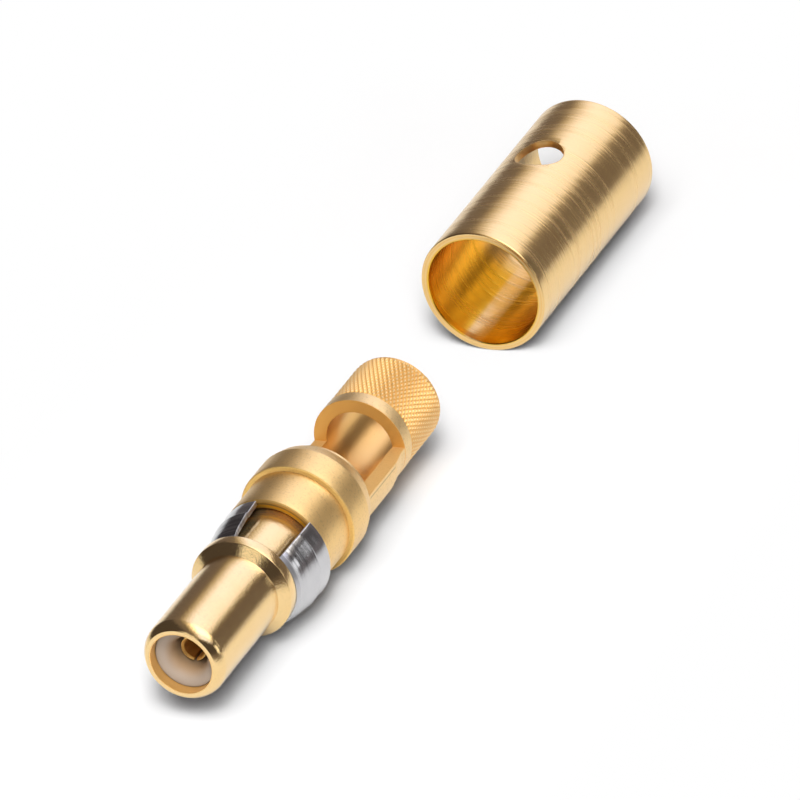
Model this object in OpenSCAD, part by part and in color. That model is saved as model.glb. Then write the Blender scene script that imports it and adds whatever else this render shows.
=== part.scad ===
// Coaxial socket contact for a mixed-layout connector, with its crimp ferrule pulled off.
// The axis is Y: the mating nose points to -Y, the cable end to +Y, and the window opens to +Z.
// The origin is on the axis, in the front face of the flange. Sizes are in millimetres.

/* [Front shell] */
// Outside diameter of the mating nose
nose_d = 4.05; // [3.7:0.05:4.4]
// Bore of the mating nose
nose_bore = 3.05; // [2.8:0.05:3.3]
// Length of the nose, from its rim to the collar
nose_len = 6.25; // [5:0.05:8]
// Width of the flat rim at the mouth of the nose
rim_w = 0.22; // [0.1:0.02:0.3]
// Radius of the rounding outside the rim
nose_round = 0.8; // [0.6:0.05:1.2]
// Diameter of the collar in front of the clip
collar_d = 5; // [4.7:0.05:5.2]
// Length of the conical face in front of the collar
collar_cone = 0.35; // [0.2:0.05:0.6]
// Length of the collar's land
collar_len = 0.6; // [0.4:0.05:1]
// Diameter of the neck that carries the clip
neck_d = 4.05; // [3.9:0.05:4.2]
// Length of the neck between collar and hub
neck_len = 3; // [2.6:0.05:3.6]
// Length of the neck's spigot inside the hub
spigot_len = 1.6; // [1.2:0.05:1.7]

/* [Rear body] */
// Diameter of the hub that sits in the connector's cavity
hub_d = 5.25; // [5:0.05:5.5]
// Length of the hub in front of the flange
hub_len = 2.6; // [2.55:0.05:3.2]
// Chamfer at the mouth of the hub, round the neck
mouth_chamfer = 0.2; // [0.1:0.02:0.3]
// Chamfer along the outer edges of hub and flange
edge_chamfer = 0.06; // [0.03:0.01:0.1]
// Diameter of the flange that stops in the connector
flange_d = 5.75; // [5.65:0.05:6.2]
// Length of the flange's cylinder
flange_len = 1.65; // [1.2:0.05:2.2]
// Length of the taper behind the flange
flange_taper = 0.65; // [0.3:0.05:1]
// How far the taper draws the flange in
taper_drop = 0.19; // [0.1:0.01:0.25]
// Diameter of the thicker tube behind the flange
stub_d = 4.95; // [4.85:0.05:5.1]
// Length of the thicker tube
stub_len = 3.45; // [2.6:0.05:3.8]
// Length of the cone from the thicker tube to the barrel
stub_cone = 0.85; // [0.4:0.05:1]
// Diameter of the crimp barrel
barrel_d = 4.65; // [4.4:0.05:4.75]
// Bore of the barrel, for the cable's dielectric
barrel_bore = 3.38; // [3.36:0.02:3.5]
// Narrower bore in front of the step that stops the dielectric
stop_bore = 2.9; // [2.6:0.05:3]
// Distance from the solder cup's end to that step
stop_gap = 0.1; // [0.05:0.05:0.5]
// Solid tube left between flange and window
window_gap = 0.35; // [0.2:0.05:0.8]
// Length of the milled window
window_len = 4.4; // [4:0.05:5]
// Height of the milled edges above the axis
window_level = 0; // [-0.3:0.05:0.5]
// Plain band between window and knurl
band_len = 0.8; // [0.5:0.05:1.2]

/* [Knurl] */
// Length of the knurled band at the tail
knurl_len = 3.35; // [2.5:0.05:4.5]
// Grooves of each hand round the barrel
knurl_starts = 64; // [40:2:72]
// Angle of the grooves to the axis
knurl_angle = 30; // [25:1:40]
// Depth of the grooves
knurl_depth = 0.07; // [0.05:0.01:0.1]

/* [Retention clip] */
// Thickness of the spring sheet
clip_sheet = 0.25; // [0.15:0.01:0.28]
// Outside diameter at the front lip
clip_lip_d = 4.9; // [4.75:0.05:4.95]
// Outside diameter just behind the lip's rounding
clip_front_d = 5.05; // [4.95:0.05:5.15]
// Outside diameter at the crease
clip_crease_d = 5.52; // [5.44:0.02:5.6]
// Outside diameter where the rear band starts
clip_band_d = 5.42; // [5.36:0.02:5.46]
// Largest diameter, at the rear edge
clip_rear_d = 5.56; // [5.48:0.02:5.62]
// Length of the lip's rounding
clip_lip_len = 0.25; // [0.15:0.05:0.4]
// Length of the rear band behind the crease
clip_rear_len = 0.95; // [0.6:0.05:1.2]
// Length of the crease's own step
clip_step = 0.1; // [0.05:0.01:0.2]
// Width of the slot in the ring, as an angle
clip_slot = 59; // [40:1:75]
// Roll of the slot from straight up towards +X
clip_roll = 19; // [-40:1:40]

/* [Insulator] */
// Depth of the insulator's edge behind the rim
insulator_depth = 0.5; // [0.3:0.05:0.7]
// Depth of the dish from that edge to the socket hole
dish_depth = 0.5; // [0.2:0.05:0.7]
// Diameter of the hole round the socket's tines
tine_hole_d = 1.68; // [1.6:0.02:1.9]
// Length of that hole
tine_hole_len = 4.4; // [4.1:0.05:5]
// Diameter of the flange trapped between spigot and hub
insulator_flange_d = 3.8; // [3.6:0.05:3.85]
// Length of the trapped flange
insulator_flange_len = 0.8; // [0.5:0.05:1.2]

/* [Centre contact] */
// Outside diameter of the socket
socket_d = 1.25; // [1.2:0.01:1.35]
// Bore of the socket, for the mating pin
socket_bore = 1; // [0.9:0.01:1.04]
// Depth of the socket's tip behind the rim
socket_depth = 1.37; // [1.2:0.01:1.6]
// Depth of the socket's bore
socket_bore_len = 4; // [3.8:0.05:5]
// Length of the slots between the tines
slot_len = 3.4; // [2.5:0.05:3.7]
// Width of the slots
slot_w = 0.15; // [0.1:0.01:0.2]
// Chamfer at the mouth of the socket
socket_chamfer = 0.08; // [0.04:0.01:0.1]
// Diameter of the body behind the tines, pressed into the insulator
body_d = 1.45; // [1.4:0.01:1.5]
// Diameter of the shoulder behind the insulator
shoulder_d = 1.9; // [1.7:0.05:2.2]
// Length of the shoulder
shoulder_len = 0.7; // [0.5:0.05:1]
// Diameter of the solder cup
cup_d = 1.6; // [1.5:0.05:1.65]
// Length of the solder cup
cup_len = 3.1; // [2.7:0.05:3.2]
// Bore of the solder cup
cup_bore = 1; // [0.8:0.05:1.1]
// Depth of the solder cup
cup_depth = 2.2; // [2:0.05:2.6]
// Length of the cup's open trough
trough_len = 1.6; // [1.2:0.05:1.8]
// Height of the trough's edges above the axis
trough_level = 0.15; // [0:0.01:0.3]

/* [Crimp ferrule] */
// Outside diameter of the ferrule
ferrule_d = 6.35; // [6.2:0.05:6.6]
// Wall of the ferrule's tube
ferrule_wall = 0.375; // [0.365:0.005:0.5]
// Length of the ferrule
ferrule_len = 13.1; // [11:0.1:16]
// Radius of the rounding at both lips
lip_round = 0.07; // [0.03:0.01:0.12]
// Diameter of the inspection hole
hole_d = 2.35; // [1.8:0.05:2.6]
// Place of the hole, from the ferrule's front end
hole_place = 7.9; // [6.5:0.1:8.5]
// Distance that the ferrule stands off the barrel's tail
ferrule_off = 10.1; // [5:0.1:15]

/* [Fits] */
// Radial gap between pieces that are pressed together
press_gap = 0.01; // [0.005:0.001:0.02]
// End gap of the loose clip at collar and hub
clip_end_gap = 0.1; // [0.05:0.01:0.2]
// Share of the clip's play by which it hangs on the neck
clip_hang = 0.85; // [0:0.05:0.9]
// Lean of the hanging clip from straight down towards +X
clip_lean = 48; // [0:1:60]

/* [Hidden] */
$fn = 96;

// Small overlap by which a cutter passes the face that it opens
cut = 0.5;
// Points along an eighth of a lip's rounding
lip_steps = 4;
// Points along the nose's rounding
nose_steps = 6;
// Share of the wall that the knurled ring reaches into the barrel
knurl_root_share = 0.5;

// Places along the axis, from the rim of the nose to the far end of the ferrule
hub_y = -hub_len;
neck_y = hub_y - neck_len;
collar_y = neck_y - collar_len;
nose_end_y = collar_y - collar_cone;
rim_y = nose_end_y - nose_len;
spigot_end_y = hub_y + spigot_len;
flange_end_y = flange_len + flange_taper;
stub_end_y = flange_end_y + stub_len;
window_y = flange_end_y + window_gap;
window_end_y = window_y + window_len;
knurl_y = window_end_y + band_len;
tail_y = knurl_y + knurl_len;
clip_y = neck_y + clip_end_gap;
clip_end_y = hub_y - clip_end_gap;
crease_y = clip_end_y - clip_rear_len - clip_step;
insulator_y = rim_y + insulator_depth;
tine_hole_y = insulator_y + dish_depth;
body_y = tine_hole_y + tine_hole_len;
seat_y = spigot_end_y + insulator_flange_len;
socket_y = rim_y + socket_depth;
shoulder_end_y = seat_y + shoulder_len;
cup_end_y = shoulder_end_y + cup_len;
stop_y = cup_end_y + stop_gap;
ferrule_y = tail_y + ferrule_off;
ferrule_end_y = ferrule_y + ferrule_len;

// Radii that follow from the fits
nose_r = nose_d / 2;
bore_r = nose_bore / 2;
rim_r = bore_r + rim_w;
hub_r = hub_d / 2;
flange_r = flange_d / 2;
stub_r = stub_d / 2;
barrel_r = barrel_d / 2;
hub_bore_r = neck_d / 2 + press_gap;
insulator_r = bore_r - press_gap;
insulator_flange_r = insulator_flange_d / 2;
contact_hole_r = body_d / 2 + press_gap;
// Bore of the ferrule, inside its wall
ferrule_bore = ferrule_d - 2 * ferrule_wall;
// Drop of the loose clip: a share of the play between its lip and the neck
clip_drop = clip_hang * (clip_lip_d / 2 - clip_sheet - neck_d / 2);

// Points [radius, place] on an arc round a centre, from one angle to another
function arc(centre, radius, from, to, steps) = [
    for (i = [0 : steps])
        let (a = from + (to - from) * i / steps)
        centre + radius * [cos(a), sin(a)]
];

// A turned piece: its half section [radius, place along the axis] spun round Y
module turned(section, sweep = 360, start = 0) {
    rotate([-90, 0, 0])
        rotate([0, 0, start])
            rotate_extrude(angle = sweep)
                polygon(section);
}

// Nose, collar, neck and spigot, turned from one bar
module front_shell() {
    round_x = nose_r - nose_round;
    round_angle = acos((rim_r - round_x) / nose_round);
    round_y = rim_y + nose_round * sin(round_angle);
    color("gold")
        turned(concat(
            [[bore_r, rim_y]],
            arc([round_x, round_y], nose_round, -round_angle, 0, nose_steps),
            [
                [nose_r, nose_end_y],
                [collar_d / 2, collar_y],
                [collar_d / 2, neck_y],
                [neck_d / 2, neck_y],
                [neck_d / 2, spigot_end_y],
                [bore_r, spigot_end_y]
            ]
        ));
}

// Ring of diamond points where two hands of helical grooves cross.
// Along a row, groove crossings and points take turns, and each next row is shifted by one place.
module knurled_ring(tip_r, root_r, inner_r, from, to) {
    places = 2 * knurl_starts;
    pitch = 2 * PI * tip_r / knurl_starts / tan(knurl_angle);
    rows = 2 * max(1, round((to - from) / pitch));
    function at(radius, place, row) = [
        radius * sin(place * 360 / places),
        from + (to - from) * row / rows,
        radius * cos(place * 360 / places)
    ];
    function is_point(place, row) = (place + row) % 2 == 1 && row > 0 && row < rows;
    function index(place, row) = row * places + (place + places) % places;
    surface = [
        for (row = [0 : rows], place = [0 : places - 1])
            at(is_point(place, row) ? tip_r : root_r, place, row)
    ];
    inner = [for (row = [0, rows], place = [0 : places - 1]) at(inner_r, place, row)];
    first_inner = (rows + 1) * places;
    function inside(place, end) = first_inner + end * places + (place + places) % places;
    flanks = [
        for (row = [0 : rows - 1], place = [0 : places - 1])
            let (
                a = index(place, row),
                b = index(place + 1, row),
                c = index(place + 1, row + 1),
                d = index(place, row + 1)
            )
            each ((place + row) % 2 == 0 ? [[a, c, b], [a, d, c]] : [[a, d, b], [b, d, c]])
    ];
    ends = [
        for (place = [0 : places - 1])
            each [
                [index(place, 0), index(place + 1, 0), inside(place + 1, 0), inside(place, 0)],
                [index(place + 1, rows), index(place, rows), inside(place, 1), inside(place + 1, 1)],
                [inside(place, 0), inside(place + 1, 0), inside(place + 1, 1), inside(place, 1)]
            ]
    ];
    polyhedron(points = concat(surface, inner), faces = concat(flanks, ends));
}

// Hub, flange, thick tube and barrel, turned from one bar, with the milled window and the knurl
module rear_body() {
    knurl_root_r = barrel_r - knurl_depth;
    core_r = knurl_root_r - knurl_root_share * knurl_depth;
    ring_r = knurl_root_share * (core_r + barrel_bore / 2);
    color("goldenrod")
        union() {
            difference() {
                turned([
                    [hub_bore_r + mouth_chamfer, hub_y],
                    [hub_r - edge_chamfer, hub_y],
                    [hub_r, hub_y + edge_chamfer],
                    [hub_r, 0],
                    [flange_r - edge_chamfer, 0],
                    [flange_r, edge_chamfer],
                    [flange_r, flange_len],
                    [flange_r - taper_drop, flange_end_y],
                    [stub_r, flange_end_y],
                    [stub_r, stub_end_y],
                    [barrel_r, stub_end_y + stub_cone],
                    [barrel_r, knurl_y],
                    [core_r, knurl_y],
                    [core_r, tail_y],
                    [barrel_bore / 2, tail_y],
                    [barrel_bore / 2, stop_y],
                    [stop_bore / 2, stop_y],
                    [stop_bore / 2, seat_y],
                    [hub_bore_r, seat_y],
                    [hub_bore_r, hub_y + mouth_chamfer]
                ]);
                translate([-flange_r, window_y, window_level])
                    cube([flange_d, window_len, flange_d]);
            }
            knurled_ring(barrel_r, knurl_root_r, ring_r, knurl_y, tail_y);
        }
}

// Split spring ring, formed from sheet: lip, flared front, crease and rear band
module retention_clip() {
    outside = [
        [clip_lip_d / 2, clip_y],
        [clip_front_d / 2, clip_y + clip_lip_len],
        [clip_crease_d / 2, crease_y],
        [clip_band_d / 2, crease_y + clip_step],
        [clip_rear_d / 2, clip_end_y]
    ];
    last = len(outside) - 1;
    inside = [for (i = [last : -1 : 0]) outside[i] - [clip_sheet, 0]];
    color("silver")
        translate([clip_drop * sin(clip_lean), 0, -clip_drop * cos(clip_lean)])
            turned(concat(outside, inside), 360 - clip_slot, clip_roll - 90 + clip_slot / 2);
}

// Bush that carries the centre contact: dished face, hole round the tines and trapped rear flange
module insulator() {
    tine_hole_r = tine_hole_d / 2;
    color("linen")
        turned([
            [tine_hole_r, tine_hole_y],
            [insulator_r, insulator_y],
            [insulator_r, spigot_end_y],
            [insulator_flange_r, spigot_end_y],
            [insulator_flange_r, seat_y],
            [contact_hole_r, seat_y],
            [contact_hole_r, body_y],
            [tine_hole_r, body_y]
        ]);
}

// Slotted socket with a shoulder and a solder cup
module centre_contact() {
    socket_r = socket_d / 2;
    socket_bore_r = socket_bore / 2;
    color("goldenrod")
        difference() {
            turned([
                [0, socket_y + socket_bore_len],
                [socket_bore_r, socket_y + socket_bore_len],
                [socket_bore_r, socket_y + socket_chamfer],
                [socket_bore_r + socket_chamfer, socket_y],
                [socket_r, socket_y],
                [socket_r, body_y],
                [body_d / 2, body_y],
                [body_d / 2, seat_y],
                [shoulder_d / 2, seat_y],
                [shoulder_d / 2, shoulder_end_y],
                [cup_d / 2, shoulder_end_y],
                [cup_d / 2, cup_end_y],
                [cup_bore / 2, cup_end_y],
                [cup_bore / 2, cup_end_y - cup_depth],
                [0, cup_end_y - cup_depth]
            ]);
            translate([-slot_w / 2, socket_y - cut, -socket_d])
                cube([slot_w, slot_len + cut, 2 * socket_d]);
            translate([-cup_d, cup_end_y - trough_len, trough_level])
                cube([2 * cup_d, trough_len + cut, cup_d]);
        }
}

// Tube with rounded lips and one inspection hole in its upper wall
module crimp_ferrule() {
    outer_r = ferrule_d / 2;
    inner_r = ferrule_bore / 2;
    front = ferrule_y + lip_round;
    back = ferrule_end_y - lip_round;
    color("gold")
        difference() {
            turned(concat(
                arc([inner_r + lip_round, front], lip_round, 180, 270, lip_steps),
                arc([outer_r - lip_round, front], lip_round, 270, 360, lip_steps),
                arc([outer_r - lip_round, back], lip_round, 0, 90, lip_steps),
                arc([inner_r + lip_round, back], lip_round, 90, 180, lip_steps)
            ));
            translate([0, ferrule_y + hole_place, 0])
                cylinder(h = ferrule_d, d = hole_d);
        }
}

front_shell();
rear_body();
retention_clip();
insulator();
centre_contact();
crimp_ferrule();
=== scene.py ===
"""Gold-plated coaxial contact with its crimp ferrule pulled off, laid out as a Blender add-on."""
import math

import bpy
from mathutils import Matrix, Vector


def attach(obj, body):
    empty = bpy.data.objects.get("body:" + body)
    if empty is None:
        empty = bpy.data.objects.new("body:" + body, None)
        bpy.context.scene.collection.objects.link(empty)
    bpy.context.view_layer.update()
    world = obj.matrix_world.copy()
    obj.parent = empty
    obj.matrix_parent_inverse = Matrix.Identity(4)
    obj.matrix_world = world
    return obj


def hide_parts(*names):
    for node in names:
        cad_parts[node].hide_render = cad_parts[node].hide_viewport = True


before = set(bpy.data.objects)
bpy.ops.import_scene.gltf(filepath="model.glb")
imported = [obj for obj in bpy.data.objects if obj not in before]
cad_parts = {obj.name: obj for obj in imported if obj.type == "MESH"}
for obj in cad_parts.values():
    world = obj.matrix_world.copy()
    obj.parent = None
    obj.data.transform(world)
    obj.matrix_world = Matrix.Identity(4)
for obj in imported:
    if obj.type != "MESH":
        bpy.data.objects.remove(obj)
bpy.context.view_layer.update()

bl_info = {
    "name": "Coaxial contact",
    "version": (1, 0, 0),
    "blender": (4, 5, 0),
    "location": "View3D > Sidebar > Contact",
    "description": "Builds the turned pieces of a coaxial contact, its clip, its ferrule and a small stage",
    "category": "Object",
}

MM = 0.001
AXIS = (0.0, 1.0, 0.0)
MERGE = 1e-7
SLACK = 0.002 * MM
STRAIGHT = math.radians(178)
SHARP = math.radians(35)
FILLET_SHARE = 0.48
PICTURE_PIXELS = 800.0
SENSOR_WIDTH = 36.0

# Cards that the metal mirrors: name, lowest and highest corner in millimetres, turn in degrees, brightness
CARDS = (
    ("side_card", (500, -50, -3), (501, 100, 130), 10.0, 1.5),
    ("rear_card", (500, -20, -3), (501, 20, 160), 36.3, 1.5),
    ("front_card", (-115, -401, 110), (186, -400, 480), 0.0, 1.05),
)

# Lamps: place, width and height in metres
SHADOW_LAMP = ((0.36, -0.6, 0.65), 0.22, 0.55)
FILL_LAMP = ((0.15, -0.34, 0.7), 0.5, 0.5)


def place(name, description, millimetres, **limits):
    """A place along the axis, kept in metres."""
    return bpy.props.FloatProperty(
        name=name, description=description, default=millimetres * MM, precision=5, unit="LENGTH", **limits)


def length(name, description, millimetres):
    """A size that a user may change, kept in metres."""
    return place(name, description, millimetres, min=0.0)


def angle(name, description, degrees):
    """An angle that a user may change."""
    return bpy.props.FloatProperty(
        name=name, description=description, default=math.radians(degrees), subtype="ANGLE")


def number(name, description, value):
    """A plain number that a user may change."""
    return bpy.props.FloatProperty(name=name, description=description, default=value, min=0.0)


def colour(name, description, rgb):
    """A linear colour that a user may change."""
    return bpy.props.FloatVectorProperty(
        name=name, description=description, default=rgb, size=3, min=0.0, max=1.0, subtype="COLOR")


class ShellSizes(bpy.types.PropertyGroup):
    """Sizes of the front shell."""
    rim_y: place("Rim", "Place of the rim of the nose", -12.8)
    nose_end_y: place("Nose end", "Place where the nose meets the collar's cone", -6.55)
    collar_y: place("Collar", "Place of the collar's front edge", -6.2)
    neck_y: place("Neck", "Place of the collar's rear face", -5.6)
    end_y: place("Spigot end", "Place where the spigot ends inside the hub", -1.0)
    nose_r: length("Nose radius", "Outside radius of the nose", 2.025)
    bore_r: length("Bore radius", "Radius of the bore of the nose", 1.525)
    rim_w: length("Rim width", "Width of the flat rim", 0.22)
    rounding: length("Rounding", "Radius of the rounding outside the rim", 0.8)
    collar_r: length("Collar radius", "Radius of the collar", 2.5)
    neck_r: length("Neck radius", "Radius of the neck that carries the clip", 2.025)
    edge: length("Edge", "Rounding of the turned edges", 0.03)


class BodySizes(bpy.types.PropertyGroup):
    """Sizes of the rear body."""
    hub_y: place("Hub", "Place of the hub's front face", -2.6)
    seat_y: place("Seat", "Place of the seat of the insulator's flange", -0.2)
    flange_end_y: place("Flange end", "Place where the flange's cylinder ends", 1.65)
    taper_end_y: place("Taper end", "Place where the taper behind the flange ends", 2.3)
    window_y: place("Window", "Place of the window's front wall", 2.65)
    stop_y: place("Stop", "Place of the step that stops the cable's dielectric", 3.7)
    stub_end_y: place("Thick tube end", "Place where the thicker tube ends", 5.75)
    cone_end_y: place("Cone end", "Place where the cone behind the thicker tube ends", 6.6)
    window_end_y: place("Window end", "Place of the window's rear wall", 7.05)
    knurl_y: place("Knurl", "Place where the knurl starts", 7.85)
    tail_y: place("Tail", "Place of the barrel's end", 11.2)
    hub_r: length("Hub radius", "Radius of the hub", 2.625)
    mouth_r: length("Mouth radius", "Radius of the hub's bore", 2.035)
    mouth_chamfer: length("Mouth chamfer", "Chamfer round the neck", 0.2)
    chamfer: length("Chamfer", "Chamfer along the outer edges", 0.06)
    flange_r: length("Flange radius", "Radius of the flange", 2.875)
    taper_r: length("Taper radius", "Radius at the end of the taper", 2.685)
    stub_r: length("Thick tube radius", "Radius of the thicker tube", 2.475)
    barrel_r: length("Barrel radius", "Radius of the crimp barrel", 2.325)
    stop_r: length("Stop radius", "Radius of the bore in front of the step", 1.45)
    bore_r: length("Bore radius", "Radius of the cable's bore", 1.69)
    edge: length("Edge", "Rounding of the turned edges", 0.03)
    mill_edge: length("Milled edge", "Rounding of the window's edges", 0.025)
    knurl_depth: length("Knurl depth", "Depth of the knurl's grooves", 0.07)
    knurl_tip: length("Knurl tip", "Width taken off the knurl's points", 0.04)
    knurl_starts: bpy.props.IntProperty(
        name="Knurl starts", description="Grooves of each hand round the barrel", default=64, min=40, max=72)
    knurl_rows: bpy.props.IntProperty(
        name="Knurl rows", description="Rows of crossings along the band", default=16, min=8, max=24)


class ClipSizes(bpy.types.PropertyGroup):
    """Sizes of the split spring ring."""
    front_y: place("Lip", "Place of the front lip", -5.5)
    lip_end_y: place("Lip end", "Place where the lip's rounding ends", -4.95)
    crease_y: place("Crease", "Place of the crease", -3.75)
    step_y: place("Step", "Place where the rear band starts", -3.65)
    rear_y: place("Rear", "Place of the rear edge", -2.7)
    lip_r: length("Lip radius", "Outside radius at the lip", 2.45)
    coin: length("Coining", "How much the lip is thinned from outside", 0.1)
    front_r: length("Front radius", "Outside radius behind the lip", 2.572)
    crease_r: length("Crease radius", "Radius at the crease", 2.76)
    band_r: length("Band radius", "Radius where the rear band starts", 2.71)
    rear_r: length("Rear radius", "Largest radius, at the rear edge", 2.78)
    sheet: length("Sheet", "Thickness of the spring sheet", 0.25)
    drop: length("Drop", "How far the loose ring hangs off the axis", 0.149)
    lean: angle("Lean", "Lean of the hanging ring from straight down to the right", 48.0)
    slot: angle("Slot", "Width of the slot in the ring", 59.0)
    roll: angle("Roll", "Roll of the slot from straight up", 19.0)
    edge: length("Edge", "Rounding of the sheet's edges", 0.03)
    slot_edge: length("Slot edge", "Rounding along the slot", 0.07)


class InsulatorSizes(bpy.types.PropertyGroup):
    """Sizes of the insulating bush."""
    face_y: place("Face", "Place of the outer edge of the dished face", -12.3)
    hole_y: place("Hole", "Place where the rounded mouth ends in the hole", -11.55)
    hole_end_y: place("Hole end", "Place where the hole round the tines ends", -7.4)
    spigot_y: place("Spigot", "Place of the trapped flange's front", -1.0)
    seat_y: place("Seat", "Place of the trapped flange's rear", -0.2)
    outer_r: length("Outer radius", "Radius in the nose's bore", 1.515)
    hole_r: length("Hole radius", "Radius of the hole round the tines", 0.84)
    body_r: length("Body radius", "Radius of the hole for the contact's body", 0.735)
    flange_r: length("Flange radius", "Radius of the trapped flange", 1.9)
    edge: length("Edge", "Rounding of the moulded edges", 0.05)


class SocketSizes(bpy.types.PropertyGroup):
    """Sizes of the centre contact."""
    tip_y: place("Tip", "Place of the socket's tip", -11.43)
    bore_end_y: place("Bore end", "Place where the pin's bore ends", -7.43)
    slot_end_y: place("Slot end", "Place where the slots end", -8.03)
    body_y: place("Body", "Place where the thicker body starts", -7.4)
    seat_y: place("Seat", "Place of the shoulder's front", -0.2)
    shoulder_y: place("Shoulder end", "Place of the shoulder's rear", 0.5)
    cup_y: place("Cup end", "Place of the cup's end", 3.6)
    cup_bottom_y: place("Cup bottom", "Place of the cup's bottom", 1.4)
    trough_y: place("Trough", "Place where the open trough starts", 2.0)
    socket_r: length("Socket radius", "Outside radius of the tines", 0.625)
    bore_r: length("Bore radius", "Radius of the pin's bore", 0.5)
    body_r: length("Body radius", "Radius of the body", 0.725)
    shoulder_r: length("Shoulder radius", "Radius of the shoulder", 0.95)
    cup_r: length("Cup radius", "Outside radius of the cup", 0.8)
    cup_bore_r: length("Cup bore radius", "Radius of the cup's bore", 0.5)
    chamfer: length("Chamfer", "Chamfer at the mouth", 0.08)
    slot_w: length("Slot width", "Width of the slots between the tines", 0.15)
    trough_z: length("Trough height", "Height of the trough's edges", 0.15)
    edge: length("Edge", "Rounding of the turned edges", 0.025)


class FerruleSizes(bpy.types.PropertyGroup):
    """Sizes of the crimp ferrule."""
    front_y: place("Front", "Place of the ferrule's front lip", 21.3)
    rear_y: place("Rear", "Place of the ferrule's rear lip", 34.4)
    hole_y: place("Hole", "Place of the inspection hole", 29.2)
    outer_r: length("Outer radius", "Outside radius", 3.175)
    inner_r: length("Inner radius", "Bore radius", 2.8)
    lip: length("Lip", "Rounding of the lips", 0.07)
    hole_r: length("Hole radius", "Radius of the inspection hole", 1.175)
    hole_edge: length("Hole edge", "Rounding of the hole's edges", 0.03)


class StageSizes(bpy.types.PropertyGroup):
    """Floor, lights and camera."""
    floor_z: place("Floor", "Height of the floor, under the ferrule", -3.175)
    floor_w: length("Floor width", "Width of the floor", 6000.0)
    distance: length("Distance", "Distance of the camera", 600.0)
    across: length("Across", "Shift of the aim to the right", 4.7303)
    above: length("Above", "Shift of the aim upwards", 5.5549)
    azimuth: angle("Azimuth", "Turn of the camera round the object", 29.2069)
    elevation: angle("Elevation", "Height of the camera above the horizon", 28.7228)
    roll: angle("Roll", "Roll of the camera", -10.2944)
    scale: number("Scale", "Pixels to a millimetre at the origin, in a frame of 800", 21.7477)
    lamp_power: number("Lamp power", "Power of the lamp that throws the shadow, in watts", 7.8)
    fill_power: number("Fill power", "Power of the broad lamp that softens the shadow, in watts", 3.6)
    box_level: number("Soft box level", "Brightness of the soft box that the metal mirrors", 1.22)
    box_z: length("Soft box height", "Height of the soft box above the axis", 400.0)


class FinishColours(bpy.types.PropertyGroup):
    """Colours of the finishes, some of them painted shade, light and reflection."""
    gold: colour("Gold", "Polished gold plate", (0.93, 0.68, 0.34))
    satin: colour("Satin gold", "Satin gold plate of the hub and the socket", (0.91, 0.615, 0.25))
    matt: colour("Matt gold", "Matt gold plate of the tube and the knurl", (0.92, 0.655, 0.31))
    # Partly the socket's grain, partly painted shade inside the ferrule's bore near its front
    grain_and_bore_shade: colour("Deep gold", "Gold in the ferrule and in the socket's grain", (1.0, 0.61, 0.05))
    # Painted shade: warm gold in the bores of the cable and of the nose
    bore_shade_gold: colour("Warm gold", "Gold inside the cable's bore and the nose", (0.87, 0.51, 0.165))
    # Painted reflection: reddish gold on the hub's and the flange's front faces and on the chamfer round the
    # neck
    painted_reflection_orange: colour("Orange gold", "Gold of the hub's and the flange's front faces", (0.92, 0.52, 0.06))
    # Painted light on the knurl's points and a painted reflection inside the ferrule
    knurl: colour("Pale gold", "Gold of the knurl's points and of a streak in the ferrule", (1.0, 0.72, 0.36))
    # The ferrule's turned lines and part of the milled ledge, and painted shade on the window's rear wall and
    # in the knurl's grooves
    amber_and_shade: colour("Amber gold", "Gold of milled faces and of the knurl's grooves", (0.90, 0.49, 0.12))
    steel: colour("Spring steel", "Bare spring sheet", (0.66, 0.66, 0.67))
    dull_steel: colour("Dull steel", "Clouds in the spring sheet", (0.45, 0.45, 0.465))
    dark_steel: colour("Dark steel", "Brush lines beside the clip's slot", (0.2, 0.2, 0.21))
    # Both insulator colours are darkened as painted shade inside the nose
    shaded_milky: colour("Insulator", "Milky insulator", (0.38, 0.30, 0.235))
    dim_milky: colour("Dim insulator", "Clouds in the insulator", (0.32, 0.25, 0.19))
    # Brown specks and thin lines, and painted shade on the dish near the socket and on the chamfer round the
    # neck
    stain_and_shade: colour("Stain_and_shade", "Brown of specks, thin lines and the dish near the socket", (0.40, 0.25, 0.125))
    floor: colour("Floor", "Pale floor", (0.985, 0.985, 0.985))
    room: colour("Room", "Dark room that the metal mirrors", (0.175, 0.15, 0.148))


def settings():
    """The scene's own sizes and colours."""
    return bpy.context.scene.contact_settings


def group(kind, name):
    """One group of sizes or colours among the settings."""
    return bpy.props.PointerProperty(type=kind, name=name, description=f"{name} of the contact")


class ContactSettings(bpy.types.PropertyGroup):
    """All sizes and colours of the contact."""
    shell: group(ShellSizes, "Front shell")
    body: group(BodySizes, "Rear body")
    clip: group(ClipSizes, "Retention clip")
    insulator: group(InsulatorSizes, "Insulator")
    socket: group(SocketSizes, "Centre contact")
    ferrule: group(FerruleSizes, "Crimp ferrule")
    stage: group(StageSizes, "Stage")
    finish: group(FinishColours, "Finishes")


# Modelling helpers

def mode(name):
    """Edit mode or object mode."""
    bpy.ops.object.mode_set(mode=name)


def clear_selection():
    """Object mode with nothing selected, so that an operator acts only on the new piece."""
    if bpy.context.mode != "OBJECT":
        mode("OBJECT")
    bpy.ops.object.select_all(action="DESELECT")


def only(piece):
    """The piece alone selected and active, in object mode."""
    clear_selection()
    piece.select_set(True)
    bpy.context.view_layer.objects.active = piece


def pick_nothing(piece, kind):
    """The piece alone active, with none of its vertices, edges or faces selected."""
    only(piece)
    mode("EDIT")
    bpy.ops.mesh.select_mode(type=kind)
    bpy.ops.mesh.select_all(action="DESELECT")
    mode("OBJECT")


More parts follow.
